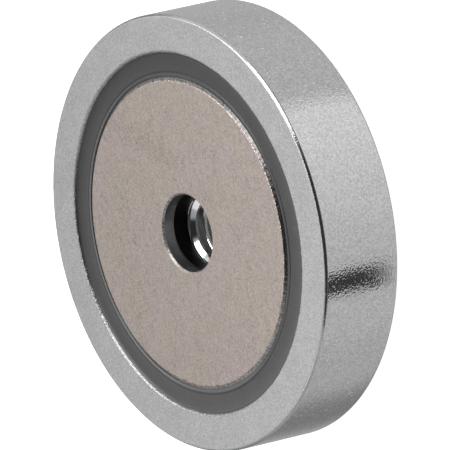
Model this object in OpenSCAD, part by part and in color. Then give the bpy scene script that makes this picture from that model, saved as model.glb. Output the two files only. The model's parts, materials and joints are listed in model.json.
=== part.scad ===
// Recovery magnet: a round pot magnet with a tapped hole through its middle.
// It lies on its back face, with the origin at the centre of that face and the working face at +Z.

/* [Pot] */
// Outside diameter of the steel pot
pot_d = 48; // [42:1:75]
// Height of the pot, from back face to rim
pot_h = 10; // [8:0.5:20]
// Thickness of the pot's wall, seen as the rim on the working face
wall_t = 4.3; // [2.5:0.1:6]
// Chamfer on the rim's outer edge
rim_chamfer = 0.25; // [0.1:0.05:0.6]
// Chamfer on the edge where the recess opens in the rim
mouth_chamfer = 0.2; // [0.05:0.01:0.3]
// Radius on the outer edge of the back face
back_round = 0.5; // [0.2:0.1:1.5]

/* [Tapped hole] */
// Nominal diameter of the metric thread
thread_d = 8; // [6:2:10]
// Pitch of the thread
thread_pitch = 1.25; // [0.75:0.25:1.5]
// How far the countersink in the back face opens beyond the thread's radius
back_sink_lip = 0.4; // [0.2:0.1:1]
// Included angle of the back countersink
back_sink_angle = 90; // [80:5:120]
// Included angle of the countersink in the floor of the recess
floor_sink_angle = 120; // [90:5:140]

/* [Magnet] */
// Gap around the magnet, from its side to the pot's wall
potting_gap = 2.45; // [1:0.05:5]
// Radial clearance that a bolt of the thread's size has on its way through the magnet
bolt_clear = 0.15; // [0.05:0.05:0.5]
// Thickness of the magnet
magnet_t = 3; // [2:0.1:4]
// Depth of the magnet's face below the rim
magnet_inset = 0.05; // [0:0.05:0.3]
// Chamfer on the magnet's outer edges
magnet_chamfer = 0.45; // [0.1:0.05:0.6]
// Chamfer on the edges of the magnet's hole
hole_chamfer = 0.2; // [0.1:0.05:0.5]

/* [Resin] */
// Thickness of the glue film between the magnet and the floor of the recess
bond_t = 0.05; // [0.03:0.01:0.2]
// Thickness of the glue collar squeezed up into the magnet's hole
collar_t = 0.1; // [0.05:0.01:0.3]
// Height of the glue collar above the floor of the recess
collar_h = 1.55; // [0.8:0.05:1.6]
// Depth of the potting ring's surface below the rim
potting_inset = 0.2; // [0.1:0.05:0.4]

/* [Hidden] */
$fn = 180;

pot_r = pot_d / 2;
recess_r = pot_r - wall_t;
recess_depth = magnet_inset + magnet_t + bond_t;
floor_z = pot_h - recess_depth;

// Height of the sharp triangle of an ISO thread is 0.866 pitch, and an internal crest keeps 5/8 of it.
tapped_r = thread_d / 2 - 0.866 * thread_pitch * 5 / 8;
back_sink_r = thread_d / 2 + back_sink_lip;
back_sink_h = (back_sink_r - tapped_r) / tan(back_sink_angle / 2);

magnet_r = recess_r - potting_gap;
magnet_z = floor_z + bond_t;
magnet_top = pot_h - magnet_inset;

// The collar and the floor countersink leave the bolt the same clear way.
clear_r = thread_d / 2 + bolt_clear;
magnet_hole_r = clear_r + collar_t;
floor_sink_h = (clear_r - tapped_r) / tan(floor_sink_angle / 2);

potting_top = pot_h - potting_inset;
// The resin wets the magnet's chamfer up to its own surface.
potting_wet = max(0, magnet_chamfer - (magnet_top - potting_top));
potting_lip = potting_wet > 0
    ? [[magnet_r - potting_wet, potting_top], [magnet_r, potting_top - potting_wet]]
    : [[magnet_r, potting_top]];

// Corner points of the rounded back edge, from the back face up to the wall.
function back_edge(r, steps = 8) = [
    for (i = [0:steps]) let (a = -90 + 90 * i / steps)
        [pot_r - r + r * cos(a), r + r * sin(a)]
];

// One-piece steel cup: a thick floor for the thread and a wall that leads the field to the rim.
module pot() {
    color([0.72, 0.73, 0.74])
    rotate_extrude() polygon(concat(
        [[tapped_r, back_sink_h], [back_sink_r, 0]],
        back_edge(back_round),
        [
            [pot_r, pot_h - rim_chamfer],
            [pot_r - rim_chamfer, pot_h],
            [recess_r + mouth_chamfer, pot_h],
            [recess_r, pot_h - mouth_chamfer],
            [recess_r, floor_z],
            [clear_r, floor_z],
            [tapped_r, floor_z - floor_sink_h]
        ]
    ));
}

// Flat nickel-plated ring, magnetised through its thickness.
module ring_magnet() {
    color([0.66, 0.62, 0.59])
    rotate_extrude() polygon([
        [magnet_hole_r, magnet_z + hole_chamfer],
        [magnet_hole_r + hole_chamfer, magnet_z],
        [magnet_r - magnet_chamfer, magnet_z],
        [magnet_r, magnet_z + magnet_chamfer],
        [magnet_r, magnet_top - magnet_chamfer],
        [magnet_r - magnet_chamfer, magnet_top],
        [magnet_hole_r + hole_chamfer, magnet_top],
        [magnet_hole_r, magnet_top - hole_chamfer]
    ]);
}

// Black glue: the film under the magnet and the collar that it forms in the magnet's hole.
module glue_bed() {
    color([0.03, 0.03, 0.03])
    rotate_extrude() polygon([
        [clear_r, floor_z],
        [magnet_r, floor_z],
        [magnet_r, magnet_z + magnet_chamfer],
        [magnet_r - magnet_chamfer, magnet_z],
        [magnet_hole_r + hole_chamfer, magnet_z],
        [magnet_hole_r, magnet_z + hole_chamfer],
        [magnet_hole_r, floor_z + collar_h],
        [clear_r, floor_z + collar_h]
    ]);
}

// Grey potting compound that fills the gap around the magnet.
module potting_ring() {
    color([0.33, 0.34, 0.34])
    rotate_extrude() polygon(concat(
        [[magnet_r, floor_z], [recess_r, floor_z], [recess_r, potting_top]],
        potting_lip
    ));
}

pot();
ring_magnet();
glue_bed();
potting_ring();
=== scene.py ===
import json
import math

import bmesh
import bpy
from mathutils import Matrix, Vector, noise


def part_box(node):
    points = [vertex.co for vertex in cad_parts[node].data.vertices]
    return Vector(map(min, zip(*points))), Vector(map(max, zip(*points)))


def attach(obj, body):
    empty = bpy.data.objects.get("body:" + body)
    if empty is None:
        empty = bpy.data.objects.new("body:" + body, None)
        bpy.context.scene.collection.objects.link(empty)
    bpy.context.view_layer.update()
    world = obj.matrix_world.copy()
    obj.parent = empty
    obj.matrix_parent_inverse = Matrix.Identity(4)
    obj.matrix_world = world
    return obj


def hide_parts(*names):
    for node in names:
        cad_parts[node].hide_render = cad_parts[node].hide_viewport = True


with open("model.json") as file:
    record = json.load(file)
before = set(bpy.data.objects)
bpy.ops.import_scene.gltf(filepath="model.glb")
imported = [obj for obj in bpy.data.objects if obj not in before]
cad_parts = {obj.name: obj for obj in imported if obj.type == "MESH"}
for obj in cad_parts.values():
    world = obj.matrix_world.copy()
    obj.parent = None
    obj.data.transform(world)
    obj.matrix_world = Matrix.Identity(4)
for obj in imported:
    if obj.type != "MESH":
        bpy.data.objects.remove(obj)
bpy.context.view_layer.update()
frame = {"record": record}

# ---------------------------------------------------------------- sizes, in millimetres
MM = 0.001


def mm_box(node):
    """Radius, lowest height and highest height of a turned CAD piece."""
    low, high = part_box(node)
    return high.x / MM, low.z / MM, high.z / MM


FLOOR_SINK_DEG = 120    # full angle of the countersink in the floor
mounts = {mount["name"]: mount for mount in frame["record"]["mounts"]}
thread = mounts["eyebolt_thread"]

POT_R, BACK_Z, RIM_Z = mm_box("pot")
RECESS_R, FLOOR_Z, POTTING_Z = mm_box("potting_ring")
MAGNET_R, MAGNET_LOW, MAGNET_TOP = mm_box("ring_magnet")
COLLAR_TOP = mm_box("glue_bed")[2]
CLEAR_R = mounts["bolt_passage"]["dims"]["r_mm"]
TAPPED_R = thread["dims"]["r_mm"]
THREAD_HIGH = FLOOR_Z - (CLEAR_R - TAPPED_R) / math.tan(math.radians(FLOOR_SINK_DEG / 2))
THREAD_LOW = THREAD_HIGH - thread["dims"]["length_mm"]

# Sizes of the CAD part that no box or mount gives.
THREAD_R = 4.0
PITCH = 1.25
MAGNET_HOLE_R = 4.25
RIM_CHAMFER = 0.25
MOUTH_CHAMFER = 0.2
MAGNET_CHAMFER = 0.45
HOLE_CHAMFER = 0.2
BACK_ROUND = 0.5
BACK_SINK_R = TAPPED_R + THREAD_LOW     # the back countersink has a full angle of 90 degrees

MOUTH_R = RECESS_R + MOUTH_CHAMFER      # where the rim's flat ends at the recess
MAGNET_FACE_R = MAGNET_R - MAGNET_CHAMFER
MAGNET_EDGE_Z = MAGNET_TOP - MAGNET_CHAMFER
SCORE_R = 22.31     # a fine turned line on the rim
SCORE_WIDTH = 0.14
LAND = 0.3          # width of the land round the countersink in the floor
LAND_DROP = 0.04    # how far the land falls towards the countersink
THREAD_START = 0.5  # where the helix starts, in turns
HOLE_TOP = FLOOR_Z - LAND_DROP

FINE = 1536     # points round the pieces that show their edges
COARSE = 192    # points round the tapped hole
ARC_STEPS = 6   # steps of the rounded back edge
SHARP_DEG = 28  # edges steeper than this stay crisp

X_AXIS = (1, 0, 0)
Y_AXIS = (0, 1, 0)
Z_AXIS = (0, 0, 1)
SMEAR_ACROSS = (0.86, -0.51, 0)     # the mottled strip on the magnet: square to it, and along it
SMEAR_ALONG = (0.51, 0.86, 0)


# ---------------------------------------------------------------- shader arithmetic
class Wire:
    """A socket in a node tree that can be used in Python arithmetic."""

    def __init__(self, tree, socket):
        self.tree = tree
        self.socket = socket

    def add(self, kind, settings=None, sockets=None, output=0):
        """Adds a node: its settings first, then the values or links of its sockets."""
        node = self.tree.nodes.new(kind)
        for name, value in (settings or {}).items():
            setattr(node, name, value)
        for key, value in (sockets or {}).items():
            if isinstance(value, Wire):
                self.tree.links.new(value.socket, node.inputs[key])
            else:
                node.inputs[key].default_value = value
        return Wire(self.tree, node.outputs[output]) if node.outputs else None

    def maths(self, operation, *values):
        """Adds a Math node that starts from this value."""
        settings = {"operation": operation}
        return self.add("ShaderNodeMath", settings, dict(enumerate((self, *values))))

    def __add__(self, other):
        return self.maths("ADD", other)

    def __sub__(self, other):
        return self.maths("SUBTRACT", other)

    def __mul__(self, other):
        return self.maths("MULTIPLY", other)

    def __rsub__(self, other):
        return self * -1 + other

    __radd__ = __add__
    __rmul__ = __mul__

    def rise(self, low, high):
        """0 below low, 1 above high and a smooth step between them."""
        settings = {"interpolation_type": "SMOOTHSTEP"}
        sockets = {"Value": self, "From Min": low, "From Max": high}
        return self.add("ShaderNodeMapRange", settings, sockets)

    def blend(self, low, high):
        """The colour low where this is 0, and high where it is 1."""
        sockets = {"Factor": self, 6: low, 7: high}
        return self.add("ShaderNodeMix", {"data_type": "RGBA"}, sockets, output=2)


def grey(value):
    """A neutral colour."""
    return (value, value, value, 1.0)


def noise_at(place, scale, detail, seed, distortion=0.0):
    """Fractal noise between 0 and 1 over a place in millimetres; scale is its features per millimetre."""
    sockets = {"Vector": place, "W": seed, "Scale": scale, "Detail": detail, "Distortion": distortion}
    return place.add("ShaderNodeTexNoise", {"noise_dimensions": "4D"}, sockets)


def surface(build):
    """A new material, named after the function build, which gets the place on the piece
    in millimetres and returns the Principled sockets to set."""
    material = bpy.data.materials.new(build.__name__)
    material.use_nodes = True
    tree = material.node_tree
    shader = tree.nodes["Principled BSDF"]
    start = Wire(tree, None)
    where = start.add("ShaderNodeTexCoord", output=3)
    place = where.add("ShaderNodeVectorMath", {"operation": "SCALE"}, {0: where, "Scale": 1 / MM})
    for key, value in build(place).items():
        if isinstance(value, Wire):
            tree.links.new(value.socket, shader.inputs[key])
        else:
            shader.inputs[key].default_value = value
    return material


def bumped(height, depth_um):
    """A normal bent by a height between 0 and 1, which stands for a depth in micrometres."""
    sockets = {"Height": height, "Distance": depth_um * MM * MM}
    return height.add("ShaderNodeBump", None, sockets)


# ---------------------------------------------------------------- finishes
def from_axis(place):
    """Distance from the axis, in millimetres."""
    flat = place.add("ShaderNodeVectorMath", {"operation": "MULTIPLY"}, {0: place, 1: (1, 1, 0)})
    return flat.add("ShaderNodeVectorMath", {"operation": "LENGTH"}, {0: flat}, output=1)


def along(place, way):
    """How far a place lies along a direction."""
    return place.add("ShaderNodeVectorMath", {"operation": "DOT_PRODUCT"}, {0: place, 1: way}, output=1)


def between_sides(place):
    """1 near the XZ plane, where the light rakes across the edges, and 0 towards both ends of Y."""
    return 1 - along(place, Y_AXIS).maths("ABSOLUTE").rise(6, 13)


def painted_light_gradient(place, x_share, y_share):
    """Painted light: a slow change of brightness over a piece, standing in for the light falling off across
    it.
    1 at the axis, and less by these shares for each millimetre of X and Y."""
    return 1 - along(place, (x_share, y_share, 0))


def band(value, low, high, soft):
    """1 between two limits and 0 outside them, with soft ends."""
    return value.rise(low, low + soft) * (1 - value.rise(high - soft, high))


def hairlines(place, scale, seed, width=0.035):
    """Thin curved lines, 1 on the line: the contours of a slow noise."""
    swirl = noise_at(place, scale, 2.0, distortion=1.2, seed=seed) * 2 - 1
    return 1 - swirl.maths("ABSOLUTE").rise(0.0, width)


def multiplied(colour, factor):
    """A colour darkened or lightened by a number."""
    shade = factor.add("ShaderNodeCombineColor", None, {0: factor, 1: factor, 2: factor})
    sockets = {"Factor": 1.0, 6: colour, 7: shade}
    return factor.add("ShaderNodeMix", {"data_type": "RGBA", "blend_type": "MULTIPLY"}, sockets, output=2)


def zinc_wall(place):
    """Barrel-plated zinc on the pot's side: bright, under a fine frosting of dots."""
    dots = noise_at(place, 5.6, 0.0, seed=1.0)
    peel = noise_at(place, 3.2, 1.0, seed=2.0)
    pits = noise_at(place, 5.0, 0.0, seed=3.0).rise(0.68, 0.80)
    cloud = noise_at(place, 0.5, 3.0, seed=4.0)
    # Painted glints: rare bright dots, lighter and less metallic, stand in for glints off the plating's
    # grain.
    painted_glints = noise_at(place, 4.5, 0.0, seed=33.0).rise(0.74, 0.82)
    shade = dots.rise(0.2, 0.8) * 0.75 + cloud * 0.25 - pits * 0.4 + painted_glints * 0.6
    return {
        "Base Color": shade.blend(grey(0.51), grey(0.77)),
        "Metallic": 1 - 0.6 * painted_glints,
        "Roughness": 0.08 + 0.06 * cloud,
        "Normal": bumped(dots + peel * 0.5, 22.0),
    }


def zinc_face(place):
    """Zinc on the ground rim and the back: duller, pitted, with fine scuffs in every direction."""
    grain = noise_at(place, 7.5, 0.0, seed=5.0)
    scuffs = noise_at(place, 2.4, 4.0, distortion=2.2, seed=6.0)
    cloud = noise_at(place, 0.4, 3.0, seed=7.0)
    pits = noise_at(place, 4.0, 1.0, seed=15.0).rise(0.66, 0.80)
    radius = from_axis(place)
    rim = along(place, Z_AXIS).rise(RIM_Z - 1.0, RIM_Z - 0.5)
    score = band(radius, SCORE_R - SCORE_WIDTH / 2, SCORE_R + SCORE_WIDTH / 2, 0.05)
    score = score * scuffs.rise(0.4, 0.6) * rim
    ragged = radius + (noise_at(place, 3.0, 2.0, seed=31.0) - 0.5) * 0.7
    mouth = (1 - ragged.rise(MOUTH_R - 0.1, MOUTH_R + 0.2)) * rim
    # Painted reflection: line is a dark ragged band along the mouth, on the +Y side only, standing in for a
    # dark part of the studio mirrored by the mouth's edge.
    side = along(place, Y_AXIS).rise(-10, 0)
    line = band(ragged, MOUTH_R - 0.05, MOUTH_R + 0.20, 0.1) * side * rim
    shade = grain.rise(0.2, 0.8) * 0.5 + scuffs * 0.3 + cloud * 0.3 - pits * 0.5
    shade = shade - 0.12 * score - 0.7 * line
    colour = shade.blend(grey(0.37), grey(0.72))
    return {
        # Painted light: the colour grows darker towards +X and +Y.
        "Base Color": multiplied(colour, painted_light_gradient(place, 0.0016, 0.0032)),
        "Metallic": 1.0,
        "Roughness": 0.32 + 0.12 * cloud,
        "Normal": bumped(grain * 0.7 + scuffs * 0.6 - mouth * 1.5, 24.0),
    }


def zinc_edge(place):
    """Zinc on the chamfers: rubbed smooth, with small nicks."""
    grain = noise_at(place, 6.0, 1.0, seed=16.0)
    nicks = noise_at(place, 3.0, 1.0, seed=17.0).rise(0.62, 0.72)
    return {
        "Base Color": grain.blend(grey(0.54), grey(0.78)),
        "Metallic": 1.0,
        "Roughness": 0.13 + 0.10 * nicks,
        "Normal": bumped(grain * 0.8 + nicks * 0.3, 16.0),
    }


def zinc_lip(place):
    """Zinc on the small chamfer where the recess opens, dulled by the compound."""
    grain = noise_at(place, 5.0, 1.0, seed=32.0)
    return {
        "Base Color": grain.blend(grey(0.20), grey(0.46)),
        "Metallic": 1.0,
        "Roughness": 0.22 + 0.14 * grain,
        "Normal": bumped(grain, 40.0),
    }


def zinc_thread(place):
    """Thin bright zinc over machined steel, in the tapped hole and its countersinks."""
    ripple = noise_at(place, 1.6, 2.0, seed=8.0)
    tool = noise_at(place, 5.0, 1.0, seed=18.0)
    return {
        "Base Color": ripple.blend(grey(0.56), grey(0.72)),
        "Metallic": 1.0,
        "Roughness": 0.06 + 0.05 * ripple,
        "Normal": bumped(ripple + tool * 0.4, 7.0),
    }


def nickel(place):
    """Satin nickel plating with a warm tint, scuffed in loose arcs and mottled in places."""
    cloud = noise_at(place, 0.16, 3.0, seed=9.0)
    patch = noise_at(place, 0.2, 3.0, distortion=0.8, seed=19.0)
    scuffs = noise_at(place, 2.2, 4.0, distortion=2.6, seed=10.0)
    grain = noise_at(place, 7.5, 0.0, seed=11.0)
    specks = noise_at(place, 4.2, 1.0, seed=21.0).rise(0.60, 0.78)
    hair = hairlines(place, 0.42, 22.0) + hairlines(place, 0.75, 23.0, 0.05)
    strayed = along(place, SMEAR_ACROSS) + (noise_at(place, 0.35, 2.0, seed=24.0) - 0.5) * 5
    mottled = band(strayed, 5.2, 9.0, 2.0) * along(place, SMEAR_ALONG).rise(0, 6)
    stretched = place.add("ShaderNodeVectorMath", {"operation": "MULTIPLY"}, {0: place, 1: (0.45, 2.6, 1)})
    strokes = noise_at(stretched, 1.1, 3.0, distortion=0.9, seed=34.0)
    tint = patch.rise(0.35, 0.65).blend((0.540, 0.460, 0.434, 1.0), (0.530, 0.470, 0.416, 1.0))
    shade = 0.70 + 0.30 * grain.rise(0.2, 0.8) + 0.20 * scuffs + 0.06 * cloud
    shade = shade - 0.12 * hair - specks * (0.08 + 0.55 * mottled) - 0.06 * mottled
    shade = shade + 0.30 * (strokes - 0.5)
    ragged = from_axis(place) + (noise_at(place, 3.4, 2.0, seed=30.0) - 0.5) * 0.7
    edge = ragged.rise(MAGNET_FACE_R - 0.15, MAGNET_FACE_R + 0.1)
    # Painted shade: the outer edge of the face is darkened near the XZ plane, where the light rakes across
    # it.
    painted_edge_shade = edge * between_sides(place)
    return {
        # Painted light: the colour also grows darker towards +Y.
        "Base Color": multiplied(tint, shade * (1 - 0.6 * painted_edge_shade) * painted_light_gradient(place, 0.0, 0.0038)),
        "Metallic": 1.0,
        "Roughness": 0.34 + 0.10 * scuffs - 0.12 * edge,
        "Normal": bumped(scuffs * 0.6 + grain * 0.6 - edge * 2.0, 22.0),
    }


def nickel_edge(place):
    """Nickel on the magnet's chamfers: uneven, from dark to bright, and less metallic between
    both ends of Y."""
    grain = noise_at(place, 3.6, 2.0, seed=25.0)
    colour = grain.rise(0.3, 0.7).blend((0.24, 0.23, 0.22, 1.0), (0.60, 0.58, 0.56, 1.0))
    return {
        # Painted light: the chamfer's colour grows darker towards +X and lighter towards +Y.
        "Base Color": multiplied(colour, painted_light_gradient(place, 0.015, -0.015)),
        "Metallic": 1 - 0.55 * between_sides(place),
        "Roughness": 0.20 + 0.14 * grain,
        "Normal": bumped(grain, 24.0),
    }


def shaded_nickel_bore(place):
    """The wall of the magnet's hole: a darker, neutral copy of the nickel that paints the shade inside the
    hole.
    """
    cloud = noise_at(place, 1.2, 3.0, seed=26.0)
    grain = noise_at(place, 6.0, 1.0, seed=27.0)
    return {
        # Painted shade: darker than the nickel of the face.
        "Base Color": (cloud * 0.6 + grain * 0.4).blend(grey(0.32), grey(0.66)),
        "Metallic": 1.0,
        "Roughness": 0.30 + 0.10 * cloud,
        "Normal": bumped(grain, 10.0),
    }


def potting_resin(place):
    """Smooth dark grey potting compound with a soft sheen. Beside the magnet its colour carries painted
    shade at both ends of Y, a painted highlight along +Y and on the bead between the ends, and a
    painted shadow as a dark band outside both."""
    cloud = noise_at(place, 0.5, 2.0, seed=12.0)
    ripple = noise_at(place, 1.5, 2.0, seed=13.0)
    dust = noise_at(place, 5.5, 1.0, seed=28.0).rise(0.3, 0.7)
    marks = noise_at(place, 1.1, 2.0, seed=29.0).rise(0.70, 0.78)
    radius = from_axis(place)
    north = along(place, Y_AXIS).rise(3, 12)
    south = 1 - along(place, Y_AXIS).rise(-12, -3)
    between = 1 - north - south
    # Painted light beside the magnet: shade darkens it at both ends of Y, a highlight lightens it along +Y
    # and on the bead between the ends, and a shadow darkens a band outside both.
    painted_gap_shade = (1 - (radius - south * 0.12).rise(MAGNET_R - 0.12, MAGNET_R - 0.04)) * (1 - between)
    pale = band(radius, MAGNET_R - 0.04, MAGNET_R + 0.30, 0.08) * north
    bead = band(radius, MAGNET_R - 0.40, MAGNET_R + 0.30, 0.08) * between
    dark = band(radius, MAGNET_R + 0.33, MAGNET_R + 0.58, 0.10) * (1 - south)
    shade = (cloud * 0.5 + dust * 0.4 + marks * 0.6) * 0.042 + 0.0505
    # Painted light: the compound grows darker towards +X and +Y.
    shade = shade * painted_light_gradient(place, 0.0160, 0.0065)
    shade = shade * (1 - 0.55 * painted_gap_shade + 1.7 * pale + 0.6 * bead - 0.4 * dark)
    return {
        "Base Color": multiplied(grey(1.0), shade),
        "Roughness": 0.30 + 0.1 * cloud,
        "Normal": bumped(ripple + dust * 0.1, 3.0),
    }


def black_resin_and_shade(place):
    """Black glue with a soft gloss, near-black so that its colour also paints the deep shade low in the
    magnet's hole.
    """
    ripple = noise_at(place, 2.0, 2.0, seed=14.0)
    return {
        # Near-black: the glue's own colour together with painted shade.
        "Base Color": ripple.blend(grey(0.002), grey(0.006)),
        "Roughness": 0.30 + 0.1 * ripple,
        "Specular IOR Level": 0.10,
        "Normal": bumped(ripple, 5.0),
    }


# ---------------------------------------------------------------- turned shapes
def towards(corner, neighbour, reach, share):
    """The point a reach away from a corner, at most at a share of the way to its neighbour."""
    side = neighbour - corner
    return corner + side.normalized() * min(reach, share * side.length)


def eased(profile):
    """An outline of corners, each with its radius, height and the reach of its rounding along both sides.
    A point beyond each end of a rounding keeps the flats next to it flat."""
    steps = 3
    beyond = 1.6            # how far that point lies from the corner, in reaches
    round_share = 0.42      # most of a side that a rounding may take
    flat_share = 0.48       # most of a side that the point beyond it may be along
    corners = [Vector((r, z)) for r, z, reach in profile]
    made = []
    for i, corner in enumerate(corners):
        reach = profile[i][2]
        before = corners[i - 1]
        after = corners[(i + 1) % len(corners)]
        start = towards(corner, before, reach, round_share)
        end = towards(corner, after, reach, round_share)
        made.append(towards(corner, before, beyond * reach, flat_share))
        for step in range(steps + 1):
            t = step / steps
            made.append(start * (1 - t) ** 2 + corner * 2 * t * (1 - t) + end * t ** 2)
        made.append(towards(corner, after, beyond * reach, flat_share))
    return [tuple(place) for place in made]


def wander(angle, beats, seed):
    """Smooth noise round a circle, from -1 to 1, with about this many beats in a radian."""
    return noise.noise(Vector((beats * math.cos(angle), beats * math.sin(angle), seed)))


def around(count):
    """The angles of points spread evenly round the axis."""
    return [math.tau * i / count for i in range(count)]


def loop(mesh, angles, r, z, shift=None):
    """A ring of points at a radius and a height; shift gives each one its own small move."""
    made = []
    for angle in angles:
        dr, dz = shift(angle, r, z) if shift else (0.0, 0.0)
        place = Vector(((r + dr) * math.cos(angle), (r + dr) * math.sin(angle), z + dz))
        made.append(mesh.verts.new(place * MM))
    return made


def skin(mesh, lower, upper, material):
    """Faces between two rings; the upper one may have a whole number of points for each lower one."""
    share = len(upper) // len(lower)
    for i in range(len(lower)):
        j = (i + 1) % len(lower)
        edge = [upper[(i * share + k) % len(upper)] for k in range(share, -1, -1)]
        face = mesh.faces.new([lower[i], lower[j], *edge])
        face.material_index = material


def linked(name, data):
    """A new object in the scene, made from a mesh, a lamp or a camera."""
    made = bpy.data.objects.new(name, data)
    bpy.context.scene.collection.objects.link(made)
    return made


def finished(mesh, name, body, node, materials):
    """Turns a mesh into a piece that rides on a body and stands for a CAD node."""
    bmesh.ops.recalc_face_normals(mesh, faces=mesh.faces)
    data = bpy.data.meshes.new(name)
    mesh.to_mesh(data)
    mesh.free()
    for material in materials:
        data.materials.append(material)
    data.shade_smooth()
    data.set_sharp_from_angle(angle=math.radians(SHARP_DEG))
    piece = linked(name, data)
    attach(piece, body)
    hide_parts(node)


def halfway(start, end):
    """The radius and height midway between two points of an outline."""
    return (start[0] + end[0]) / 2, (start[1] + end[1]) / 2


def turned(name, profile, node, materials, shift, finish=None):
    """A ring-shaped piece: a closed outline turned round the axis; finish picks the material at a place."""
    mesh = bmesh.new()
    angles = around(FINE)
    rings = [loop(mesh, angles, r, z, shift) for r, z in profile]
    for i, ring in enumerate(rings):
        material = finish(*halfway(profile[i - 1], profile[i])) if finish else 0
        skin(mesh, rings[i - 1], ring, material)
    finished(mesh, name, "root", node, materials)


# ---------------------------------------------------------------- the tapped hole
def thread_profile():
    """One pitch of an ISO internal thread, as steps along the axis and radii: crest, flank, root, flank."""
    rows = (6, 7, 4, 7)
    crest = PITCH / 4
    root = PITCH / 8
    flank = (PITCH - crest - root) / 2
    ends = [(0.0, TAPPED_R), (crest, TAPPED_R), (crest + flank, THREAD_R),
            (crest + flank + root, THREAD_R), (PITCH, TAPPED_R)]
    made = []
    for (s0, r0), (s1, r1), count in zip(ends, ends[1:], rows):
        for k in range(count):
            t = k / count
            made.append((s0 + (s1 - s0) * t, r0 + (r1 - r0) * t))
    return made


def countersunk(z):
    """The larger radius of both countersinks at a height, which is less than the thread's between them."""
    back = BACK_SINK_R - z
    land_r = CLEAR_R - LAND
    front = land_r - (HOLE_TOP - z) * (land_r - TAPPED_R) / (HOLE_TOP - THREAD_HIGH)
    return max(back, front)


def tapped_hole(mesh, angles, material):
    """Helical rows of points from the back face up to the land round the front countersink."""
    profile = thread_profile()
    turns = math.ceil(FLOOR_Z / PITCH) + 1
    rows = [(s + (turn - 1) * PITCH, r) for turn in range(turns + 1) for s, r in profile]
    columns = []
    start = round(THREAD_START * len(angles))
    for i in range(len(angles) + 1):
        angle = angles[(i + start) % len(angles)]
        lead = PITCH * i / len(angles)
        column = []
        for s, r in rows:
            z = min(max(s + lead, BACK_Z), HOLE_TOP)
            radius = max(r, countersunk(z))
            if z in (BACK_Z, HOLE_TOP):
                radius = countersunk(z)
            place = Vector((radius * math.cos(angle), radius * math.sin(angle), z))
            column.append(mesh.verts.new(place * MM))
        columns.append(column)
    for left, right in zip(columns, columns[1:]):
        for k in range(len(rows) - 1):
            face = mesh.faces.new([left[k], left[k + 1], right[k + 1], right[k]])
            face.material_index = material


# ---------------------------------------------------------------- pieces
def pot():
    """The steel cup: turned outside, recess, and a tapped hole with real threads."""
    finishes = [surface(zinc_wall), surface(zinc_face), surface(zinc_thread),
                surface(zinc_edge), surface(zinc_lip)]
    wall, face, tapped, edge, lip = range(len(finishes))
    fine_from = 16.0            # radius on the back face from which its points are fine
    worn_from = RIM_Z - 0.6     # height from which the edges are worn

    def worn(angle, r, z):
        if z < worn_from:
            return 0.0, 0.0
        if r < RECESS_R + 0.5:
            return 0.02 * wander(angle, 40, 1.0) + 0.03 * wander(angle, 17, 2.0), 0.0
        if r > POT_R - 0.6:
            return -0.006 * (1 + wander(angle, 34, 3.0)), -0.004 * (1 + wander(angle, 27, 4.0))
        return 0.0, 0.0

    def finish(r, z):
        if z > RIM_Z - MOUTH_CHAMFER and r < MOUTH_R:
            return lip
        if z > RIM_Z - RIM_CHAMFER and r > POT_R - RIM_CHAMFER:
            return edge
        return wall if r > POT_R - 0.01 else face

    outline = [
        (POT_R, RIM_Z - 3, 0.1),
        (POT_R, RIM_Z - RIM_CHAMFER, 0.12),
        (POT_R - RIM_CHAMFER, RIM_Z, 0.11),
        (MOUTH_R, RIM_Z, 0.11),
        (RECESS_R, RIM_Z - MOUTH_CHAMFER, 0.06),
        (RECESS_R, RIM_Z - 2, 0.1),
    ]
    mesh = bmesh.new()
    fine = around(FINE)
    coarse = around(COARSE)
    arc = [math.radians(-90 + 90 * k / ARC_STEPS) for k in range(ARC_STEPS + 1)]
    back = [(POT_R - BACK_ROUND + BACK_ROUND * math.cos(a), BACK_ROUND + BACK_ROUND * math.sin(a))
            for a in arc]
    side = [(POT_R, z) for z in (3.0, 6.0, 9.0)]
    rim = [(r, z) for r, z in eased(outline) if z > RIM_Z - 1]
    rows = [(fine_from, BACK_Z), *back, *side, *rim, (RECESS_R, RIM_Z - 1.2), (RECESS_R, FLOOR_Z)]
    rings = [loop(mesh, fine, r, z, worn) for r, z in rows]
    for i in range(len(rows) - 1):
        skin(mesh, rings[i], rings[i + 1], finish(*halfway(rows[i], rows[i + 1])))
    back_ring = loop(mesh, coarse, BACK_SINK_R, BACK_Z)
    floor_ring = loop(mesh, coarse, CLEAR_R, FLOOR_Z)
    land_ring = loop(mesh, coarse, CLEAR_R - LAND, HOLE_TOP)
    skin(mesh, back_ring, rings[0], face)
    skin(mesh, floor_ring, rings[-1], face)
    skin(mesh, land_ring, floor_ring, tapped)
    tapped_hole(mesh, coarse, tapped)
    bmesh.ops.remove_doubles(mesh, verts=mesh.verts, dist=0.002 * MM)
    bmesh.ops.dissolve_degenerate(mesh, edges=mesh.edges, dist=0.001 * MM)
    finished(mesh, "steel_pot", "root", "pot", finishes)


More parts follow.
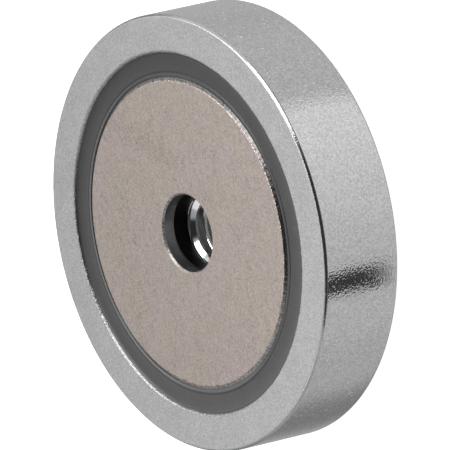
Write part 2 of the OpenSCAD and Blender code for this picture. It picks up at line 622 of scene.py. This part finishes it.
def ring_magnet():
    """The plated magnet, with slightly uneven chamfers where the plating has built up."""
    finishes = [surface(nickel), surface(nickel_edge), surface(shaded_nickel_bore)]
    face, chamfer, bore = range(len(finishes))

    def uneven(angle, r, z):
        if z > MAGNET_TOP - 0.12 and r > MAGNET_FACE_R - 0.3:
            return 0.03 * wander(angle, 45, 5.0), 0.0
        return 0.0, 0.0

    def finish(r, z):
        if r < MAGNET_HOLE_R + 0.01:
            return bore
        return face if z > MAGNET_TOP - 0.01 else chamfer

    outline = [
        (MAGNET_HOLE_R, MAGNET_LOW + HOLE_CHAMFER, 0.05),
        (MAGNET_HOLE_R + HOLE_CHAMFER, MAGNET_LOW, 0.05),
        (MAGNET_FACE_R, MAGNET_LOW, 0.05),
        (MAGNET_R, MAGNET_LOW + MAGNET_CHAMFER, 0.05),
        (MAGNET_R, MAGNET_EDGE_Z, 0.05),
        (MAGNET_FACE_R, MAGNET_TOP, 0.05),
        (MAGNET_HOLE_R + HOLE_CHAMFER, MAGNET_TOP, 0.03),
        (MAGNET_HOLE_R, MAGNET_TOP - HOLE_CHAMFER, 0.02),
    ]
    turned("magnet_ring", eased(outline), "ring_magnet", finishes, uneven, finish)


def potting_ring():
    """The compound round the magnet: a bead at the magnet, a groove, and a sagging fill up to the pot."""
    low = MAGNET_R - (POTTING_Z - MAGNET_EDGE_Z)
    drop = 0.09     # how far the compound lies below its edge at the pot, beside the bead
    sag = 0.08      # how much further it sinks halfway to the pot
    steps = 16
    bead = [(low, -0.10), (low + 0.20, -0.12), (low + 0.30, -0.02), (low + 0.38, 0.0), (low + 0.52, 0.0),
            (low + 0.60, -0.03), (low + 0.70, -0.11), (low + 0.80, -drop)]
    start = bead[-1][0]
    width = RECESS_R - start
    fill = []
    for k in range(1, steps):
        t = k / steps
        fill.append((start + width * t, -drop - sag * math.sin(math.pi * t) ** 0.8 + drop * t ** 6))

    def poured(angle, r, z):
        if z < POTTING_Z - 0.3:
            return 0.0, 0.0
        share = (r - low) / (RECESS_R - low)
        sway = 0.04 * wander(angle, 3, 10.0) if low + 0.1 < r < start + 0.1 else 0.0
        return sway, 0.012 * wander(angle, 6, 6.0) * math.sin(math.pi * share)

    creep = 0.25 * MOUTH_CHAMFER    # how far it climbs the chamfer of the mouth
    lip = [(RECESS_R + creep, creep), (RECESS_R, 0.0)]
    top = [(r, POTTING_Z + dz) for r, dz in bead + fill + lip]
    outline = [(MAGNET_R, FLOOR_Z), (MAGNET_R, MAGNET_EDGE_Z), *top, (RECESS_R, FLOOR_Z)]
    turned("potting", outline, "potting_ring", [surface(potting_resin)], poured)


def glue_bed():
    """The glue film and the collar that it forms low in the magnet's hole."""
    def ragged(angle, r, z):
        if z < COLLAR_TOP - 0.2:
            return 0.0, 0.0
        return 0.0, -0.03 * abs(wander(angle, 9, 7.0))

    outline = [
        (CLEAR_R, FLOOR_Z),
        (MAGNET_R, FLOOR_Z),
        (MAGNET_R, MAGNET_LOW + MAGNET_CHAMFER),
        (MAGNET_FACE_R, MAGNET_LOW),
        (MAGNET_HOLE_R + HOLE_CHAMFER, MAGNET_LOW),
        (MAGNET_HOLE_R, MAGNET_LOW + HOLE_CHAMFER),
        (MAGNET_HOLE_R, COLLAR_TOP),
        (CLEAR_R, COLLAR_TOP - 0.05),
    ]
    turned("glue", outline, "glue_bed", [surface(black_resin_and_shade)], ragged)


# ---------------------------------------------------------------- studio
def direction(azimuth, elevation):
    """A unit vector; azimuth 0 is +Y and 90 is +X, in degrees."""
    a = math.radians(azimuth)
    e = math.radians(elevation)
    return Vector((math.sin(a) * math.cos(e), math.cos(a) * math.cos(e), math.sin(e)))


VIEW_ELEVATION = 36.3   # elevation of the camera that the flag is placed for, in degrees
SKY = 0.72              # radiance of the studio above the horizon
GROUND = 0.62           # and below it
TABLE = 0.76            # radiance of the table's round patch where X is 0
TABLE_SLOPE = 0.31      # and how fast it rises towards +X

# The rest of the studio, as round patches of light and dark, each over those before it:
# azimuth, elevation, radius in degrees, softness in degrees, radiance.
PATCHES = [
    (-70, 20, 35, 30, 0.42),
    (-30, -36, 22, 40, 0.25),
    (-36, 0, 14, 20, 0.30),
    (36, 0, 14, 20, 0.30),
    (20, -36, 20, 50, 0.50),
    (44, -36, 8, 16, 0.55),
    (-85, -36, 10, 20, 0.54),
    (0, 90, 25, 40, 0.40),
    (-62, 49, 13, 6, 1.10),
    (180, 84, 15, 8, 0.03),
    (-166, 35, 43, 10, 0.04),
    (114, 43, 15, 6, 3.0),
    (127, 7, 20, 8, 0.15),
]


def studio_light():
    """A room of soft light: a pale surround with softer and darker patches."""
    world = bpy.data.worlds.new("studio")
    bpy.context.scene.world = world
    world.use_nodes = True
    tree = world.node_tree
    tree.nodes.clear()
    start = Wire(tree, None)
    way = start.add("ShaderNodeTexCoord", output=0)

    def within(azimuth, elevation, radius, soft):
        low = math.cos(math.radians(radius + soft / 2))
        high = math.cos(math.radians(max(radius - soft / 2, 0)))
        return along(way, direction(azimuth, elevation)).rise(low, high)

    level = within(0, 90, 88, 20) * (SKY - GROUND) + GROUND
    table = within(175, -36, 39, 2)
    level = level + table * (along(way, X_AXIS) * TABLE_SLOPE + TABLE - level)
    for azimuth, elevation, radius, soft, radiance in PATCHES:
        level = level + within(azimuth, elevation, radius, soft) * (radiance - level)
    seen = start.add("ShaderNodeLightPath", output=0)
    level = level + seen * (1.0 - level)
    lit = level.add("ShaderNodeBackground", None, {"Color": grey(1.0), "Strength": level})
    lit.add("ShaderNodeOutputWorld", None, {"Surface": lit})


def flat_card(name, width, height, place, facing, material):
    """A flat card that stands in the studio, square to a direction."""
    mesh = bmesh.new()
    bmesh.ops.create_grid(mesh, x_segments=1, y_segments=1, size=0.5)
    data = bpy.data.meshes.new(name)
    mesh.to_mesh(data)
    mesh.free()
    data.materials.append(material)
    card = linked(name, data)
    turn = facing.to_track_quat("Z", "Y").to_matrix().to_4x4()
    card.matrix_world = Matrix.Translation(place) @ turn @ Matrix.Diagonal((width, height, 1, 1))
    return card


def studio_floor():
    """A plain white table that glows a little, so that its shadows stay faint."""
    def paper(place):
        fibre = noise_at(place, 0.4, 3.0, seed=20.0)
        return {
            "Base Color": fibre.blend(grey(0.86), grey(0.90)),
            "Roughness": 0.9,
            "Emission Color": grey(1.0),
            "Emission Strength": 0.85,
        }

    floor = flat_card("studio_floor", 4.0, 4.0, Vector((0, 0, 0)), Vector(Z_AXIS), surface(paper))
    floor.visible_glossy = False


def studio_flag():
    """A small two-tone card that the pot's side mirrors as a dark streak."""
    def flag(place):
        upper = along(place, Y_AXIS).rise(-405, -385)   # in thousandths of the card's height
        return {
            "Base Color": grey(0.01),
            "Roughness": 1.0,
            "Emission Color": upper.blend(grey(0.32), grey(0.03)),
            "Emission Strength": 1.0,
        }

    azimuth = 201.5     # of the streak on the pot's side
    turning_z = 14.75   # height at which the sight line to the card's middle turns at the side
    away = 20.0         # distance of the card from there
    width = 4.6
    height = 24.6
    radial = direction(azimuth, 0)
    view = direction(180, VIEW_ELEVATION)
    mirrored = 2 * radial.dot(view) * radial - view
    turning = radial * POT_R + Vector((0, 0, turning_z))
    place = (turning + mirrored * away) * MM
    card = flat_card("studio_flag", width * MM, height * MM, place, -mirrored, surface(flag))
    card.visible_camera = False
    card.visible_diffuse = False


def hole_shade():
    """Dark card under the pot, so that the thread mirrors a shaded table through the hole."""
    def shade(place):
        return {"Base Color": grey(0.05), "Emission Color": grey(1.0), "Emission Strength": 0.22}

    width = 12 * MM
    place = Vector((0, 0, -0.2 * MM))
    card = flat_card("hole_shade", width, width, place, Vector(Z_AXIS), surface(shade))
    card.visible_camera = False


def softbox(name, azimuth, elevation, distance, size, watts):
    """A round lamp that shines at the origin; distance and size are in metres."""
    light = bpy.data.lights.new(name, "AREA")
    light.shape = "DISK"
    light.size = size
    light.energy = watts
    lamp = linked(name, light)
    away = direction(azimuth, elevation)
    lamp.location = away * distance
    lamp.rotation_mode = "QUATERNION"
    lamp.rotation_quaternion = away.to_track_quat("Z", "Y")


def camera():
    """A long lens, level with a magnet that stands on its rim: seen from here the axis points left."""
    looking_down = 36.331
    roll = -102.789
    from_face = Vector((0, -0.9628, 0.7028))
    lens = bpy.data.cameras.new("camera")
    lens.sensor_width = 36
    lens.lens = 884.8
    lens.clip_start = 0.1
    lens.clip_end = 20
    view = linked("camera", lens)
    tilted = Matrix.Rotation(math.radians(90 - looking_down), 4, "X")
    rolled = Matrix.Rotation(math.radians(roll), 4, "Z")
    place = Vector((0, 0, RIM_Z * MM)) + from_face
    view.matrix_world = Matrix.Translation(place) @ tilted @ rolled
    bpy.context.scene.camera = view


camera()
pot()
ring_magnet()
potting_ring()
glue_bed()
studio_light()
studio_floor()
studio_flag()
hole_shade()
softbox("key_light", azimuth=60, elevation=60, distance=0.9, size=0.5, watts=3.0)
bpy.context.scene.view_settings.view_transform = "Standard"
